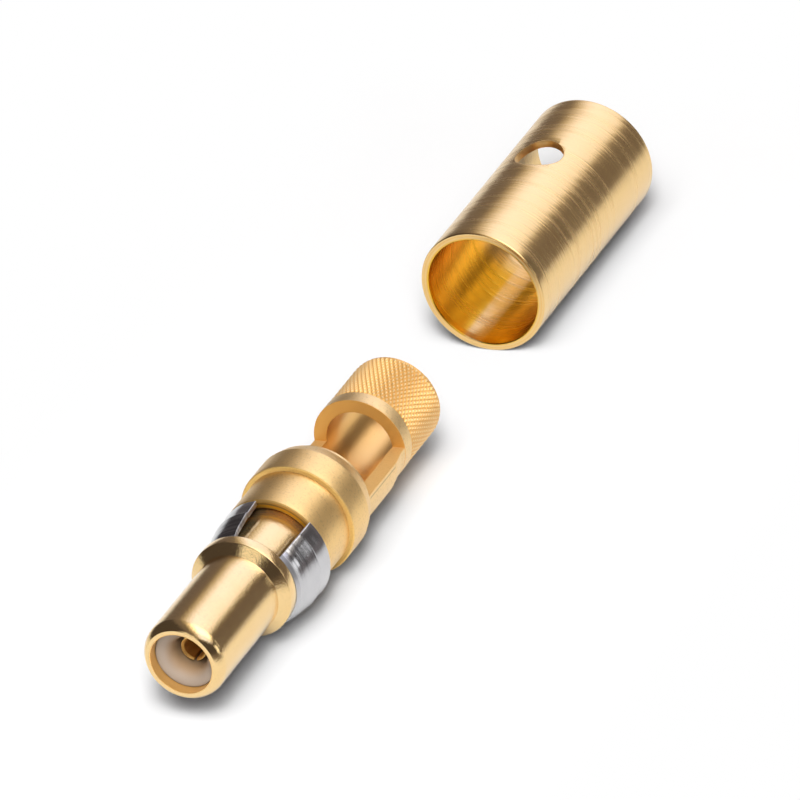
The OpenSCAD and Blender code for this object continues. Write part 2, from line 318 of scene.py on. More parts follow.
def filleted(corners, steps=3):
    """Section points [radius, place] with each corner (radius, place, fillet) rounded, as a closed loop."""
    points = []
    count = len(corners)
    for i, (r, y, fillet) in enumerate(corners):
        here = Vector((r, y))
        before = Vector(corners[i - 1][:2]) - here
        after = Vector(corners[(i + 1) % count][:2]) - here
        turn = before.angle(after)
        if fillet <= 0.0 or turn > STRAIGHT:
            points.append(here)
            continue
        reach = fillet / math.tan(turn / 2)
        reach = min(reach, FILLET_SHARE * before.length, FILLET_SHARE * after.length)
        radius = reach * math.tan(turn / 2)
        middle = here + (before.normalized() + after.normalized()).normalized() * radius / math.sin(turn / 2)
        start = here + before.normalized() * reach - middle
        sweep = start.angle_signed(here + after.normalized() * reach - middle)
        for k in range(steps + 1):
            arm = start.copy()
            arm.rotate(Matrix.Rotation(-sweep * k / steps, 2))
            points.append(middle + arm)
    return points


def with_rings(points, longest):
    """The same closed section with long straight runs divided, so that later cuts meet short faces."""
    out = []
    for i, here in enumerate(points):
        there = points[(i + 1) % len(points)]
        parts = max(1, math.ceil((there - here).length / longest))
        out += [here.lerp(there, k / parts) for k in range(parts)]
    return out


def turned(name, section, steps, start=0.0, sweep=2 * math.pi, shift=None):
    """A turned piece: the closed section is drawn point by point and spun round the axis."""
    clear_selection()
    out = Vector((math.sin(start), 0.0, math.cos(start)))
    at = [out * p.x + Vector((0.0, p.y, 0.0)) for p in section]
    bpy.ops.mesh.primitive_plane_add(size=MM, location=(0.0, 0.0, 0.0))
    piece = bpy.context.object
    piece.name = name
    piece.data.name = name
    mode("EDIT")
    bpy.ops.mesh.select_mode(type="VERT")
    bpy.ops.mesh.select_all(action="SELECT")
    bpy.ops.mesh.merge(type="CENTER")
    bpy.ops.transform.translate(value=at[0])
    for i in range(1, len(at) + 1):
        step = at[i % len(at)] - at[i - 1]
        bpy.ops.mesh.extrude_vertices_move(TRANSFORM_OT_translate={"value": step})
    bpy.ops.mesh.select_all(action="SELECT")
    bpy.ops.mesh.remove_doubles(threshold=MERGE)
    bpy.ops.mesh.select_all(action="SELECT")
    whole = sweep >= 2 * math.pi
    if not whole:
        bpy.ops.mesh.edge_face_add()
    bpy.ops.mesh.spin(steps=steps, angle=sweep, center=(0.0, 0.0, 0.0), axis=AXIS, use_auto_merge=whole)
    bpy.ops.mesh.select_all(action="SELECT")
    bpy.ops.mesh.remove_doubles(threshold=MERGE)
    bpy.ops.mesh.select_all(action="SELECT")
    if shift:
        bpy.ops.transform.translate(value=shift)
    bpy.ops.mesh.normals_make_consistent(inside=False)
    mode("OBJECT")
    return piece


def cut(piece, cutter):
    """Cuts one piece by another, which is then removed."""
    only(piece)
    bpy.ops.object.modifier_add(type="BOOLEAN")
    tool = piece.modifiers[-1]
    tool.operation = "DIFFERENCE"
    tool.solver = "EXACT"
    tool.object = cutter
    bpy.ops.object.modifier_apply(modifier=tool.name)
    clear_selection()
    cutter.select_set(True)
    bpy.ops.object.delete()


def block(low, high):
    """A box used as a cutter, from its lowest to its highest corner."""
    clear_selection()
    middle = (Vector(low) + Vector(high)) / 2
    bpy.ops.mesh.primitive_cube_add(size=1.0, location=middle)
    box = bpy.context.object
    box.scale = Vector(high) - Vector(low)
    bpy.ops.object.transform_apply(location=True, rotation=True, scale=True)
    return box


def bevel_edges(piece, chosen, width, segments=2):
    """Rounds the sharp edges whose two ends pass the test."""
    pick_nothing(piece, "EDGE")
    mesh = piece.data
    faces = {}
    for face in mesh.polygons:
        for key in face.edge_keys:
            faces.setdefault(key, []).append(face.normal)
    for edge in mesh.edges:
        normals = faces.get(edge.key, [])
        sharp = len(normals) == 2 and normals[0].angle(normals[1], 0.0) > SHARP
        ends = [mesh.vertices[v].co for v in edge.vertices]
        edge.select = sharp and chosen(*ends)
    mode("EDIT")
    bpy.ops.mesh.bevel(offset=width, segments=segments, affect="EDGES", clamp_overlap=True)
    mode("OBJECT")


def smooth(piece, degrees=32.0):
    """Smooth shading, with edges past the angle left sharp."""
    only(piece)
    bpy.ops.object.shade_smooth_by_angle(angle=math.radians(degrees), keep_sharp_edges=False)


def clip_shift(p):
    """How far the hanging ring lies off the axis, to the right and up."""
    return p.drop * math.sin(p.lean), -p.drop * math.cos(p.lean)


def finish_piece(piece, body, node, material):
    """Gives a piece its material and its body, and hides the imported part that it stands for."""
    piece.data.materials.clear()
    piece.data.materials.append(material)
    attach(piece, body)
    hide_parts(node)


# Shader helpers

class Wire:
    """A value socket in a node tree that takes part in Python sums."""

    def __init__(self, shader, socket):
        self.shader = shader
        self.socket = socket

    def math(self, operation, *others):
        """A Math node on this value and others."""
        return self.shader.node("ShaderNodeMath", {"operation": operation}, self, *others)

    def __add__(self, other):
        return self.math("ADD", other)

    __radd__ = __add__

    def __sub__(self, other):
        return self.math("SUBTRACT", other)

    def __rsub__(self, other):
        return self.shader.node("ShaderNodeMath", {"operation": "SUBTRACT"}, other, self)

    def __mul__(self, other):
        return self.math("MULTIPLY", other)

    __rmul__ = __mul__

    def __truediv__(self, other):
        return self.math("DIVIDE", other)

    def most(self, other):
        """The larger of two values."""
        return self.math("MAXIMUM", other)

    def step(self, low, high):
        """0 below low, 1 above high, smooth between; turned round where low is above high."""
        node = {"interpolation_type": "SMOOTHSTEP"}
        return self.shader.node("ShaderNodeMapRange", node, self, low, high, 0.0, 1.0)

    def past(self, spot, low, high):
        """The same step, with its two ends some millimetres from a spot."""
        return self.step(spot + low * MM, spot + high * MM)

    def near(self, middle, wide, narrow):
        """1 within the narrow distance of the middle, 0 past the wide one."""
        return (self - middle).math("ABSOLUTE").step(wide, narrow)


class Shader:
    """A node tree of a material or of the world, filled by expressions."""

    def __init__(self, owner):
        self.owner = owner
        owner.use_nodes = True
        self.tree = owner.node_tree
        self.tree.nodes.clear()

    def add(self, kind, options, *values):
        """A node of that type: its settings first, then its sockets' values or links, in order."""
        node = self.tree.nodes.new(kind)
        for key, value in options.items():
            setattr(node, key, value)
        sockets = [s for s in node.inputs if s.enabled]
        for socket, value in zip(sockets, values):
            self.put(socket, value)
        return node

    def put(self, socket, value):
        """Links a wire to a socket, or sets the socket's own value, a colour with full alpha."""
        if isinstance(value, Wire):
            self.tree.links.new(value.socket, socket)
        elif value is not None:
            socket.default_value = (*value, 1.0) if socket.type == "RGBA" else value

    def node(self, kind, options, *values, out=0):
        """The same, as a wire from one of its outputs."""
        node = self.add(kind, options, *values)
        outputs = [s for s in node.outputs if s.enabled]
        return Wire(self, outputs[out])

    def noise(self, vector, scale, detail, rough):
        """Noise between 0 and 1."""
        kind = "ShaderNodeTexNoise"
        return self.node(kind, {"noise_dimensions": "3D"}, vector, scale, detail, rough)

    def mix(self, factor, a, b):
        """A colour between two colours."""
        node = self.tree.nodes.new("ShaderNodeMix")
        node.data_type = "RGBA"
        for socket, value in zip((node.inputs[0], node.inputs[6], node.inputs[7]), (factor, a, b)):
            self.put(socket, value)
        return Wire(self, node.outputs[2])

    def ringed(self, vector, around, along, detail=3.0, rough=0.6):
        """Noise drawn out into rings, with one scale round the axis and one along it."""
        drawn_out = self.node("ShaderNodeMapping", {}, vector, None, None, (around, along, around))
        return self.noise(drawn_out, 1.0, detail, rough)

    def bump(self, height, distance):
        """A normal from a height, with the bump's depth in metres."""
        node = self.tree.nodes.new("ShaderNodeBump")
        node.inputs["Distance"].default_value = distance
        self.put(node.inputs["Height"], height)
        return Wire(self, node.outputs[0])

    def principled(self, **sockets):
        """The closing Principled shader, with sockets by name, and the finished material."""
        shader = self.tree.nodes.new("ShaderNodeBsdfPrincipled")
        for name, value in sockets.items():
            self.put(shader.inputs[name.replace("_", " ")], value)
        output = self.tree.nodes.new("ShaderNodeOutputMaterial")
        self.tree.links.new(shader.outputs[0], output.inputs["Surface"])
        return self.owner

    def split(self, vector):
        """The three parts of a vector."""
        node = self.add("ShaderNodeSeparateXYZ", {}, vector)
        return [Wire(self, s) for s in node.outputs]

    def here(self):
        """The object coordinates, whole and in three parts."""
        whole = self.node("ShaderNodeTexCoord", {}, out=3)
        return whole, *self.split(whole)


def new_shader(name):
    """The shader of a new material."""
    return Shader(bpy.data.materials.new(name))


def radius_of(x, z):
    """Distance from the axis."""
    return (x * x + z * z).math("SQRT")


def polished_gold(finish):
    """Turned and polished plate: fine turning rings, a faint grain and small brown specks."""
    s = new_shader("polished_gold")
    p = settings().shell
    here, x, y, z = s.here()
    rings = s.ringed(here, 60.0, 9000.0)
    grain = s.noise(here, 9000.0, 3.0, 0.7)
    clouds = s.noise(here, 900.0, 2.0, 0.5)
    inside = radius_of(x, z).past(p.bore_r, 0.075, 0.005)
    neck = y.past(p.neck_y, -0.15, -0.05)
    tone = s.mix(clouds * 0.5, finish.gold, finish.satin)
    tone = s.mix(grain.step(0.5, 0.68) * 0.1, tone, finish.stain_and_shade)
    # Painted shade: the nose's bore is warm gold
    base = s.mix(inside, tone, finish.bore_shade_gold)
    rough = 0.07 + grain * 0.05 + clouds * 0.05 + inside * 0.25
    return s.principled(
        Base_Color=base, Metallic=1.0 - inside * 0.35 - neck * 0.07, Roughness=rough,
        Normal=s.bump(rings * 0.2 + grain * 0.8, 0.009 * MM))


def satin_gold(finish):
    """Satin plate on the hub and flange, matt on the tube, the window and the knurl, with painted reflection
    and shade on the front faces, in the bore, in the window and on the knurl.
    """
    s = new_shader("satin_gold")
    p = settings().body
    here, x, y, z = s.here()
    radius = radius_of(x, z)
    grain = s.noise(here, 8000.0, 3.0, 0.7)
    clouds = s.noise(here, 700.0, 2.0, 0.5)
    rings = s.ringed(here, 80.0, 9000.0)
    # Tube, bore and knurl, with painted shade in the bore and in the knurl's grooves and painted light on the
    # knurl's points
    tube = y.past(p.taper_end_y, -0.05, 0.1)
    bore = radius.past(p.bore_r, 0.06, -0.01) * tube
    root_r = p.barrel_r - p.knurl_depth
    knurl = y.past(p.knurl_y, -0.05, 0.0) * radius.past(root_r, -0.055, -0.035)
    groove_shade = radius.step(p.barrel_r - 0.02 * MM, p.barrel_r - p.knurl_depth * 0.75)
    tone = s.mix(tube, finish.satin, finish.matt)
    tone = s.mix(grain.step(0.5, 0.68) * 0.25, tone, finish.stain_and_shade)
    tone = s.mix(knurl, tone, s.mix(groove_shade * 0.85, finish.knurl, finish.amber_and_shade))
    base = s.mix(bore, tone, finish.bore_shade_gold)
    # Hub's front face, with a thin ring, and the chamfer round the neck: reddish gold on both is painted
    # reflection, brown on the chamfer is painted shade, and the face's outer edge keeps the satin colour
    hub_face = y.past(p.hub_y, 0.1, 0.03)
    chamfer_r = p.mouth_r + p.mouth_chamfer
    mouth = radius.past(chamfer_r, 0.085, -0.035)
    mouth = mouth * y.past(p.hub_y, 0.6, 0.4)
    ring = radius.near(p.hub_r - 0.195 * MM, 0.06 * MM, 0.02 * MM)
    outer = radius.past(p.hub_r, -0.175, -0.125)
    base = s.mix(hub_face.most(mouth), base, finish.painted_reflection_orange)
    base = s.mix(hub_face * ring * 0.75, base, finish.stain_and_shade)
    base = s.mix(mouth * 0.6, base, finish.stain_and_shade)
    base = s.mix(hub_face * outer * 0.7, base, finish.satin)
    # Flange's front face, with a painted reflection in reddish gold, and the milled faces of the window, with
    # painted shade on the rear wall
    flange_face = y.step(0.06 * MM, 0.03 * MM) * radius.past(p.hub_r, 0.015, 0.035)
    ledge = z.near(0.0, 0.06 * MM, 0.03 * MM) * y.past(p.window_y, 0.0, 0.03)
    ledge = ledge * y.past(p.window_end_y, 0.0, -0.03)
    wall = y.near(p.window_end_y, 0.04 * MM, 0.02 * MM)
    base = s.mix(flange_face * 0.4, base, finish.painted_reflection_orange)
    base = s.mix(ledge * 0.6 + wall, base, finish.amber_and_shade)
    # Thin line under the window's ledge
    line = z.near(-0.2 * MM, 0.05 * MM, 0.03 * MM) * radius.past(p.stub_r, -0.075, -0.025)
    line = line * y.past(p.window_y, 0.0, 0.2) * y.past(p.stub_end_y, 0.0, -0.3)
    base = s.mix(line * 0.5, base, finish.stain_and_shade)
    cut_faces = hub_face + flange_face + ledge + wall
    rough = 0.28 + tube * 0.08 - (bore + mouth) * 0.14 + cut_faces * 0.14 + grain * 0.08 + clouds * 0.06
    dull = 0.05 * (1.0 - bore) + (flange_face + ledge) * 0.35 + wall * 0.25 + knurl * 0.32
    return s.principled(
        Base_Color=base, Metallic=1.0 - dull, Roughness=rough,
        Normal=s.bump(grain * 0.7 * (1.0 - bore * 0.7) + rings * 0.3, 0.016 * MM))


def brushed_gold(finish):
    """Plate brushed round the tube, with longer scratches here and there."""
    s = new_shader("brushed_gold")
    p = settings().ferrule
    here, x, y, z = s.here()
    radius = radius_of(x, z)
    fine = s.ringed(here, 110.0, 7500.0)
    streaks = s.ringed(here, 90.0, 2400.0, rough=0.65)
    scratches = s.ringed(here, 90.0, 8000.0, detail=2.0).step(0.57, 0.64)
    grain = s.noise(here, 12000.0, 2.0, 0.6)
    # Bore near the front painted in saturated warm gold as shade, with one pale painted reflection low in it
    inside = radius.past(p.inner_r, 0.15, 0.03)
    mouth = inside * y.past(p.front_y, 7.0, 5.0)
    streak = x.step(-1.5 * MM, -1.25 * MM) * x.step(-0.4 * MM, -0.65 * MM) * z.step(0.0, -MM)
    tone = s.mix(0.4 + streaks * 0.4, finish.gold, finish.satin)
    base = s.mix(mouth, tone, s.mix(streak * 0.85, finish.grain_and_bore_shade, finish.knurl))
    # Fine turned lines on both lips
    lip = y.past(p.front_y, 0.05, 0.02)
    lip = lip.most(y.past(p.rear_y, -0.05, -0.02))
    grooves = (radius / MM * 42.0).math("SINE") * 0.5 + 0.5
    base = s.mix(lip * grooves * 0.5, base, finish.amber_and_shade)
    wall = radius_of(x, y - p.hole_y).past(p.hole_r, 0.05, 0.02) * z.step(0.0, MM)
    rough = 0.17 + streaks.step(0.45, 0.7) * 0.12 + grain * 0.06 + wall * 0.25
    brush = fine * streaks.step(0.4, 0.62) * 0.8
    return s.principled(
        Base_Color=base, Metallic=1.0, Roughness=rough,
        Normal=s.bump(brush + grain * 0.2 + scratches * 0.25 + lip * grooves * 0.8, 0.007 * MM))


def contact_gold(finish):
    """Satin plate of the centre contact."""
    s = new_shader("contact_gold")
    p = settings().socket
    here, x, _, z = s.here()
    grain = s.noise(here, 15000.0, 2.0, 0.6)
    rings = s.ringed(here, 120.0, 9000.0)
    inside = radius_of(x, z).past(p.bore_r, 0.06, 0.02)
    base = s.mix(grain * 0.4, finish.satin, finish.grain_and_bore_shade)
    return s.principled(
        Base_Color=base, Metallic=1.0, Roughness=0.24 + grain * 0.1 + inside * 0.3,
        Normal=s.bump(grain * 0.5 + rings * 0.5, 0.002 * MM))


def spring_steel(finish):
    """Bright spring sheet, rolled and brushed round the ring, with darker lines beside the slot."""
    s = new_shader("spring_steel")
    p = settings().clip
    here, x, y, z = s.here()
    fine = s.ringed(here, 120.0, 6000.0)
    grain = s.noise(here, 9000.0, 3.0, 0.6)
    clouds = s.noise(here, 1200.0, 3.0, 0.6)
    rear = y.step(p.crease_y + 0.03 * MM, p.step_y - 0.01 * MM)
    off_x, off_z = clip_shift(p)
    from_slot = ((x - off_x).math("ARCTAN2", z - off_z) - p.roll).math("ABSOLUTE")
    sheared = from_slot.step(p.slot / 2 + 0.02, p.slot / 2 + 0.008)
    brushed = from_slot.step(p.slot / 2 + 0.7, p.slot / 2 + 0.4) * (1.0 - rear)
    inner = radius_of(x - off_x, z - off_z).past(p.band_r, -0.21, -0.31)
    base = s.mix(clouds * 0.6, finish.steel, finish.dull_steel)
    base = s.mix(fine.step(0.4, 0.62) * brushed * 0.6, base, finish.dark_steel)
    rough = 0.09 + fine * 0.1 + grain * 0.06 - rear * 0.04 + (sheared + inner) * 0.25
    return s.principled(
        Base_Color=base, Metallic=1.0, Roughness=rough,
        Normal=s.bump((fine * 0.6 + grain * 0.4) * (1.0 - rear * 0.7), 0.007 * MM))


def milky_insulator(finish):
    """Milky, slightly waxy bush, darkened as painted shade, with painted brown shade near the socket."""
    s = new_shader("milky_fluoropolymer")
    p = settings().insulator
    here, x, _, z = s.here()
    clouds = s.noise(here, 1500.0, 3.0, 0.6)
    grain = s.noise(here, 14000.0, 2.0, 0.6)
    turned_lines = s.ringed(here, 400.0, 8000.0, detail=2.0, rough=0.5)
    # Painted shade: brown towards the hole round the socket
    socket_shade = radius_of(x, z).past(p.hole_r, 0.36, -0.14)
    milk = s.mix(clouds * 0.4, finish.shaded_milky, finish.dim_milky)
    base = s.mix(socket_shade, milk, finish.stain_and_shade)
    return s.principled(
        Base_Color=base, Roughness=0.38 + grain * 0.14,
        Normal=s.bump(grain * 0.5 + turned_lines * 0.5, 0.003 * MM))


# Operators, one for each piece

class CONTACT_OT_front_shell(bpy.types.Operator):
    """Turns the nose, collar, neck and spigot from one bar"""
    bl_idname = "contact.front_shell"
    bl_label = "Front shell"

    def execute(self, context):
        p = settings().shell
        e = p.edge
        centre_r = p.nose_r - p.rounding
        rim_r = p.bore_r + p.rim_w
        first = math.acos((rim_r - centre_r) / p.rounding)
        centre_y = p.rim_y + p.rounding * math.sin(first)
        steps = 14
        arc = []
        for k in range(steps + 1):
            a = first * (k / steps - 1.0)
            arc.append((centre_r + p.rounding * math.cos(a), centre_y + p.rounding * math.sin(a), 0.0))
        arc[0] = (arc[0][0], arc[0][1], e * 0.8)
        section = filleted(
            [(p.bore_r, p.rim_y, e)] + arc + [
                (p.nose_r, p.nose_end_y, e * 1.5),
                (p.collar_r, p.collar_y, e * 2.0),
                (p.collar_r, p.neck_y, e * 1.5),
                (p.neck_r, p.neck_y, e),
                (p.neck_r, p.end_y, e),
                (p.bore_r, p.end_y, 0.0),
            ])
        piece = turned("front_shell_turned", with_rings(section, longest=0.8 * MM), steps=192)
        smooth(piece)
        finish_piece(piece, "contact", "front_shell", polished_gold(settings().finish))
        return {"FINISHED"}


class CONTACT_OT_rear_body(bpy.types.Operator):
    """Turns hub, flange and barrel, raises the knurl's points and mills the window"""
    bl_idname = "contact.rear_body"
    bl_label = "Rear body"

    def section(self, p):
        """The closed half section, with one ring for each row of the knurl."""
        e = p.edge
        root_r = p.barrel_r - p.knurl_depth
        front = [
            (p.mouth_r, p.hub_y + p.mouth_chamfer, 0.0),
            (p.mouth_r + p.mouth_chamfer, p.hub_y, e),
            (p.hub_r - p.chamfer, p.hub_y, e),
            (p.hub_r, p.hub_y + p.chamfer, e),
            (p.hub_r, 0.0, e),
            (p.flange_r - p.chamfer, 0.0, e),
            (p.flange_r, p.chamfer, e),
            (p.flange_r, p.flange_end_y, e),
            (p.taper_r, p.taper_end_y, e * 1.5),
            (p.stub_r, p.taper_end_y, e),
            (p.stub_r, p.stub_end_y, e * 4.0),
            (p.barrel_r, p.cone_end_y, e * 4.0),
            (p.barrel_r, p.knurl_y - e, e),
            (root_r, p.knurl_y, 0.0),
        ]
        back = [
            (root_r, p.tail_y, 0.0),
            (p.bore_r, p.tail_y, e),
            (p.bore_r, p.stop_y, 0.0),
            (p.stop_r, p.stop_y, e),
            (p.stop_r, p.seat_y, 0.0),
            (p.mouth_r, p.seat_y, 0.0),
        ]
        rows = p.knurl_rows
        pitch = (p.tail_y - p.knurl_y) / rows
        knurl = [Vector((root_r, p.knurl_y + pitch * k)) for k in range(1, rows)]
        smooth_part = with_rings(filleted(front + back), longest=0.7 * MM)
        kept = []
        for point in smooth_part:
            on_knurl = abs(point.x - root_r) < MERGE and p.knurl_y + MERGE < point.y < p.tail_y - MERGE
            if not on_knurl:
                kept.append(point)
            if abs(point.x - root_r) < MERGE and abs(point.y - p.knurl_y) < MERGE:
                kept += knurl
        return kept

    def raise_points(self, piece, p):
        """Lifts every second crossing to the barrel's radius and flattens the points' tips."""
        root_r = p.barrel_r - p.knurl_depth
        places = 2 * p.knurl_starts
        pitch = (p.tail_y - p.knurl_y) / p.knurl_rows
        pick_nothing(piece, "FACE")
        mesh = piece.data

        def on_band(co):
            at_root = abs(math.hypot(co.x, co.z) - root_r) < SLACK / 2
            return at_root and p.knurl_y - MERGE < co.y < p.tail_y + MERGE

        band = [on_band(v.co) for v in mesh.vertices]
        tips = set()
        for v in mesh.vertices:
            row = round((v.co.y - p.knurl_y) / pitch)
            spot = round(math.atan2(v.co.x, v.co.z) / (2 * math.pi) * places)
            inner = 0 < row < p.knurl_rows
            if band[v.index] and inner and (row + spot) % 2 == 1:
                tips.add(v.index)
        for face in mesh.polygons:
            face.select = all(band[v] for v in face.vertices)
        scale = p.barrel_r / root_r
        for v in mesh.vertices:
            if v.index in tips:
                v.co.x *= scale
                v.co.z *= scale
        mode("EDIT")
        bpy.ops.mesh.quads_convert_to_tris(quad_method="SHORTEST_DIAGONAL")
        pick_nothing(piece, "VERT")
        for v in mesh.vertices:
            v.select = v.index in tips
        mode("EDIT")
        bpy.ops.mesh.bevel(offset=p.knurl_tip, segments=1, affect="VERTICES", clamp_overlap=True)
        mode("OBJECT")

    def execute(self, context):
        p = settings().body
        piece = turned("rear_body_turned", self.section(p), 2 * p.knurl_starts)
        self.raise_points(piece, p)
        wide = 2.0 * p.flange_r
        cut(piece, block((-wide, p.window_y, 0.0), (wide, p.window_end_y, wide)))

        def milled(a, b):
            inside = all(p.window_y - SLACK < v.y < p.window_end_y + SLACK for v in (a, b))
            level = all(abs(v.z) < SLACK for v in (a, b))
            ends = any(all(abs(v.y - w) < SLACK for v in (a, b)) for w in (p.window_y, p.window_end_y))
            return inside and (level or ends) and min(a.z, b.z) > -SLACK

        bevel_edges(piece, milled, p.mill_edge)
        smooth(piece, degrees=28.0)
        finish_piece(piece, "contact", "rear_body", satin_gold(settings().finish))
        return {"FINISHED"}


class CONTACT_OT_clip(bpy.types.Operator):
    """Forms the split spring ring from sheet"""
    bl_idname = "contact.clip"
    bl_label = "Retention clip"

    def execute(self, context):
        p = settings().clip
        outside = [
            (p.lip_r, p.front_y, p.edge),
            (p.front_r, p.lip_end_y, p.sheet * 10.0),
            (p.crease_r, p.crease_y, p.edge * 2.0),
            (p.band_r, p.step_y, p.edge * 2.0),
            (p.rear_r, p.rear_y, p.edge),
        ]
        inside = [(r - p.sheet, y, f) for r, y, f in reversed(outside)]
        outside[0] = (p.lip_r - p.coin, p.front_y, p.edge)
        section = with_rings(filleted(outside + inside, steps=6), longest=0.5 * MM)
        off_x, off_z = clip_shift(p)
        low = p.roll - p.slot / 2
        high = p.roll + p.slot / 2
        piece = turned(
            "retention_clip_formed", section, steps=200,
            start=low, sweep=2 * math.pi - p.slot, shift=(off_x, 0.0, off_z))
        slot_slack = 0.002

        def at_slot(a, b):
            for v in (a, b):
                turn = math.atan2(v.x - off_x, v.z - off_z)
                if min(abs(turn - low), abs(turn - high)) > slot_slack:
                    return False
            return True

        bevel_edges(piece, at_slot, p.slot_edge, segments=4)
        smooth(piece)
        finish_piece(piece, "contact", "retention_clip", spring_steel(settings().finish))
        return {"FINISHED"}


class CONTACT_OT_insulator(bpy.types.Operator):
    """Turns the insulating bush with its dished face"""
    bl_idname = "contact.insulator"
    bl_label = "Insulator"

    def execute(self, context):
        p = settings().insulator
        dish = []
        steps = 8
        for k in range(steps):
            a = math.pi / 2 * k / steps
            r = p.outer_r - (p.outer_r - p.hole_r) * math.cos(a)
            dish.append((r, p.hole_y + (p.face_y - p.hole_y) * math.sin(a), 0.0))
        section = filleted(
            dish + [
                (p.outer_r, p.face_y, p.edge),
                (p.outer_r, p.spigot_y, 0.0),
                (p.flange_r, p.spigot_y, p.edge),
                (p.flange_r, p.seat_y, p.edge),
                (p.body_r, p.seat_y, p.edge),
                (p.body_r, p.hole_end_y, 0.0),
                (p.hole_r, p.hole_end_y, 0.0),
            ])
        piece = turned("insulator_turned", with_rings(section, longest=1.2 * MM), steps=144)
        smooth(piece, degrees=50.0)
        finish_piece(piece, "contact", "insulator", milky_insulator(settings().finish))
        return {"FINISHED"}


class CONTACT_OT_socket(bpy.types.Operator):
    """Turns the centre contact, saws its slots and opens the solder cup"""
    bl_idname = "contact.socket"
    bl_label = "Centre contact"

    def execute(self, context):
        p = settings().socket
        e = p.edge
        section = filleted([
            (0.0, p.bore_end_y, 0.0),
            (p.bore_r, p.bore_end_y, 0.0),
            (p.bore_r, p.tip_y + p.chamfer, e),
            (p.bore_r + p.chamfer, p.tip_y, 0.0),
            (p.socket_r, p.tip_y, e),
            (p.socket_r, p.body_y, 0.0),
            (p.body_r, p.body_y, e),
            (p.body_r, p.seat_y, 0.0),
            (p.shoulder_r, p.seat_y, e),
            (p.shoulder_r, p.shoulder_y, e),
            (p.cup_r, p.shoulder_y, 0.0),
            (p.cup_r, p.cup_y, e),
            (p.cup_bore_r, p.cup_y, e),
            (p.cup_bore_r, p.cup_bottom_y, 0.0),
            (0.0, p.cup_bottom_y, 0.0),
        ])
        piece = turned("centre_contact_turned", with_rings(section, longest=0.8 * MM), steps=96)
        half = p.slot_w / 2
        reach = 2.0 * p.socket_r
        cut(piece, block((-half, p.tip_y - reach, -reach), (half, p.slot_end_y, reach)))
        wide = 2.0 * p.cup_r
        cut(piece, block((-wide, p.trough_y, p.trough_z), (wide, p.cup_y + wide, wide)))

        def sawn(a, b):
            slotted = all(abs(abs(v.x) - half) < SLACK and v.y < p.slot_end_y for v in (a, b))
            open_cup = all(abs(v.z - p.trough_z) < SLACK and v.y > p.trough_y for v in (a, b))
            return slotted or open_cup

        bevel_edges(piece, sawn, e * 0.5)
        smooth(piece)
        finish_piece(piece, "contact", "centre_contact", contact_gold(settings().finish))
        return {"FINISHED"}


class CONTACT_OT_ferrule(bpy.types.Operator):
    """Draws the ferrule's tube, rounds its lips and pierces the inspection hole"""
    bl_idname = "contact.ferrule"
    bl_label = "Crimp ferrule"

    def execute(self, context):
        p = settings().ferrule
        corners = [
            (p.inner_r, p.front_y, p.lip),
            (p.outer_r, p.front_y, p.lip),
            (p.outer_r, p.rear_y, p.lip),
            (p.inner_r, p.rear_y, p.lip),
        ]
        section = with_rings(filleted(corners, steps=6), longest=0.6 * MM)
        piece = turned("crimp_ferrule_drawn", section, steps=224)
        clear_selection()
        bpy.ops.mesh.primitive_cylinder_add(
            vertices=96, radius=p.hole_r, depth=2.0 * p.outer_r, location=(0.0, p.hole_y, p.outer_r))
        drill = bpy.context.object
        bpy.ops.object.transform_apply(location=True, rotation=True, scale=True)
        cut(piece, drill)

        def at_hole(a, b):
            off = [abs(math.hypot(v.x, v.y - p.hole_y) - p.hole_r) for v in (a, b)]
            return max(off) < 5 * SLACK and min(a.z, b.z) > 0

        bevel_edges(piece, at_hole, p.hole_edge)
        smooth(piece)
        finish_piece(piece, "ferrule", "crimp_ferrule", brushed_gold(settings().finish))
        return {"FINISHED"}


